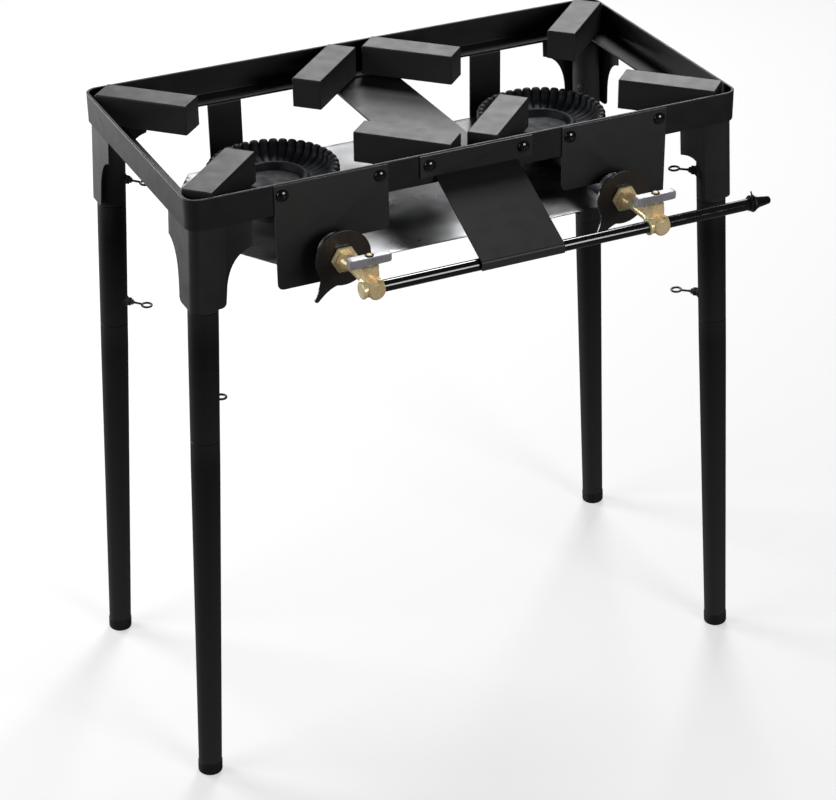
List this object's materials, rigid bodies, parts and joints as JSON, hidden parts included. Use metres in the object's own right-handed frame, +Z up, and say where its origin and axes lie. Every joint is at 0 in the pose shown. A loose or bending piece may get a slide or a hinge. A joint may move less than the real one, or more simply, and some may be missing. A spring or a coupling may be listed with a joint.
{
  "type": "double propane burner stand",
  "caption": "Propane stand for paired kettles: black angle-iron table, diagonal pot supports, cast-iron burners, brass valves on a manifold pipe, splayed take-down legs",
  "frame": {"origin": "on the floor, at the bottom centre of the whole stand's bounding box; the valves in front put the middle of the frame ring 52.7 mm behind it", "axes": "+Z up, +X along the frame to the user's right, -Y towards the user and the valves"},
  "size_m": [0.6962, 0.4474, 0.713],
  "materials": {
    "black_powder_coat": "satin black powder coat with a fine texture",
    "black_gloss": "glossy black enamel",
    "black_wire": "black coated steel wire",
    "black_rubber": "matt black moulded rubber",
    "cast_iron": "dark as-cast iron",
    "brass": "machined light brass",
    "zinc_plate": "bright zinc-plated steel",
    "polished_steel": "polished sheet steel"
  },
  "bodies": {
    "stand": {"frame_ring": "black_powder_coat", "corner_bracket_front_left": "black_powder_coat", "corner_bracket_rear_left": "black_powder_coat", "corner_bracket_front_right": "black_powder_coat", "corner_bracket_rear_right": "black_powder_coat", "centre_plate": "black_powder_coat", "pot_support_front_left_corner": "black_powder_coat", "pot_support_front_left_middle": "black_powder_coat", "pot_support_rear_left_corner": "black_powder_coat", "pot_support_rear_left_middle": "black_powder_coat", "pot_support_front_right_corner": "black_powder_coat", "pot_support_front_right_middle": "black_powder_coat", "pot_support_rear_right_corner": "black_powder_coat", "pot_support_rear_right_middle": "black_powder_coat", "leg_socket_front_left": "black_powder_coat", "leg_socket_rear_left": "black_powder_coat", "leg_socket_front_right": "black_powder_coat", "leg_socket_rear_right": "black_powder_coat", "burner_left": "cast_iron", "valve_body_left": "brass", "wind_panel_left": "black_powder_coat", "hanger_strap_left": "black_powder_coat", "bracket_screw_left": "black_gloss", "panel_screw_inner_left": "black_gloss", "panel_screw_outer_left": "black_gloss", "burner_right": "cast_iron", "valve_body_right": "brass", "wind_panel_right": "black_powder_coat", "hanger_strap_right": "black_powder_coat", "bracket_screw_right": "black_gloss", "panel_screw_inner_right": "black_gloss", "panel_screw_outer_right": "black_gloss", "manifold_pipe": "black_gloss", "gas_inlet_fitting": "black_gloss", "manifold_bracket": "black_powder_coat", "heat_shield_tray": "polished_steel"},
    "leg_upper_front_left": {"leg_upper_front_left": "black_powder_coat"},
    "leg_lower_front_left": {"leg_lower_front_left": "black_powder_coat", "foot_cap_front_left": "black_rubber"},
    "eye_screw_upper_front_left": {"eye_screw_upper_front_left": "black_wire"},
    "eye_screw_lower_front_left": {"eye_screw_lower_front_left": "black_wire"},
    "leg_upper_rear_left": {"leg_upper_rear_left": "black_powder_coat"},
    "leg_lower_rear_left": {"leg_lower_rear_left": "black_powder_coat", "foot_cap_rear_left": "black_rubber"},
    "eye_screw_upper_rear_left": {"eye_screw_upper_rear_left": "black_wire"},
    "eye_screw_lower_rear_left": {"eye_screw_lower_rear_left": "black_wire"},
    "leg_upper_front_right": {"leg_upper_front_right": "black_powder_coat"},
    "leg_lower_front_right": {"leg_lower_front_right": "black_powder_coat", "foot_cap_front_right": "black_rubber"},
    "eye_screw_upper_front_right": {"eye_screw_upper_front_right": "black_wire"},
    "eye_screw_lower_front_right": {"eye_screw_lower_front_right": "black_wire"},
    "leg_upper_rear_right": {"leg_upper_rear_right": "black_powder_coat"},
    "leg_lower_rear_right": {"leg_lower_rear_right": "black_powder_coat", "foot_cap_rear_right": "black_rubber"},
    "eye_screw_upper_rear_right": {"eye_screw_upper_rear_right": "black_wire"},
    "eye_screw_lower_rear_right": {"eye_screw_lower_rear_right": "black_wire"},
    "valve_lever_left": {"valve_lever_left": "zinc_plate"},
    "air_shutter_left": {"air_shutter_left": "black_gloss"},
    "valve_lever_right": {"valve_lever_right": "zinc_plate"},
    "air_shutter_right": {"air_shutter_right": "black_gloss"}
  },
  "joints": [
    {"name": "leg_upper_front_left_slide", "type": "slide", "parent": "stand", "child": "leg_upper_front_left", "axis": [-0.0534, -0.0211, -0.9983], "range_m": [0, 0.065]},
    {"name": "leg_lower_front_left_slide", "type": "slide", "parent": "leg_upper_front_left", "child": "leg_lower_front_left", "axis": [-0.0534, -0.0211, -0.9983], "range_m": [0, 0.065]},
    {"name": "eye_screw_upper_front_left_back_out", "type": "slide", "parent": "stand", "child": "eye_screw_upper_front_left", "axis": [0.7057, 0.7066, -0.0527], "range_m": [0, 0.006]},
    {"name": "eye_screw_lower_front_left_back_out", "type": "slide", "parent": "leg_upper_front_left", "child": "eye_screw_lower_front_left", "axis": [0.7057, 0.7066, -0.0527], "range_m": [0, 0.006]},
    {"name": "leg_upper_rear_left_slide", "type": "slide", "parent": "stand", "child": "leg_upper_rear_left", "axis": [-0.0534, 0.0211, -0.9983], "range_m": [0, 0.065]},
    {"name": "leg_lower_rear_left_slide", "type": "slide", "parent": "leg_upper_rear_left", "child": "leg_lower_rear_left", "axis": [-0.0534, 0.0211, -0.9983], "range_m": [0, 0.065]},
    {"name": "eye_screw_upper_rear_left_back_out", "type": "slide", "parent": "stand", "child": "eye_screw_upper_rear_left", "axis": [0.7057, -0.7066, -0.0527], "range_m": [0, 0.006]},
    {"name": "eye_screw_lower_rear_left_back_out", "type": "slide", "parent": "leg_upper_rear_left", "child": "eye_screw_lower_rear_left", "axis": [0.7057, -0.7066, -0.0527], "range_m": [0, 0.006]},
    {"name": "leg_upper_front_right_slide", "type": "slide", "parent": "stand", "child": "leg_upper_front_right", "axis": [0.0534, -0.0211, -0.9983], "range_m": [0, 0.065]},
    {"name": "leg_lower_front_right_slide", "type": "slide", "parent": "leg_upper_front_right", "child": "leg_lower_front_right", "axis": [0.0534, -0.0211, -0.9983], "range_m": [0, 0.065]},
    {"name": "eye_screw_upper_front_right_back_out", "type": "slide", "parent": "stand", "child": "eye_screw_upper_front_right", "axis": [-0.7057, 0.7066, -0.0527], "range_m": [0, 0.006]},
    {"name": "eye_screw_lower_front_right_back_out", "type": "slide", "parent": "leg_upper_front_right", "child": "eye_screw_lower_front_right", "axis": [-0.7057, 0.7066, -0.0527], "range_m": [0, 0.006]},
    {"name": "leg_upper_rear_right_slide", "type": "slide", "parent": "stand", "child": "leg_upper_rear_right", "axis": [0.0534, 0.0211, -0.9983], "range_m": [0, 0.065]},
    {"name": "leg_lower_rear_right_slide", "type": "slide", "parent": "leg_upper_rear_right", "child": "leg_lower_rear_right", "axis": [0.0534, 0.0211, -0.9983], "range_m": [0, 0.065]},
    {"name": "eye_screw_upper_rear_right_back_out", "type": "slide", "parent": "stand", "child": "eye_screw_upper_rear_right", "axis": [-0.7057, -0.7066, -0.0527], "range_m": [0, 0.006]},
    {"name": "eye_screw_lower_rear_right_back_out", "type": "slide", "parent": "leg_upper_rear_right", "child": "eye_screw_lower_rear_right", "axis": [-0.7057, -0.7066, -0.0527], "range_m": [0, 0.006]},
    {"name": "valve_lever_left_turn", "type": "hinge", "parent": "stand", "child": "valve_lever_left", "pos_m": [-0.164, -0.20468, 0.648], "axis": [0, 0, -1], "range_deg": [0, 90]},
    {"name": "air_shutter_left_turn", "type": "hinge", "parent": "stand", "child": "air_shutter_left", "pos_m": [-0.164, -0.13868, 0.626], "axis": [0, 1, 0], "range_deg": [-60, 30]},
    {"name": "valve_lever_right_turn", "type": "hinge", "parent": "stand", "child": "valve_lever_right", "pos_m": [0.164, -0.20468, 0.648], "axis": [0, 0, -1], "range_deg": [0, 90]},
    {"name": "air_shutter_right_turn", "type": "hinge", "parent": "stand", "child": "air_shutter_right", "pos_m": [0.164, -0.13868, 0.626], "axis": [0, 1, 0], "range_deg": [-60, 30]}
  ]
}
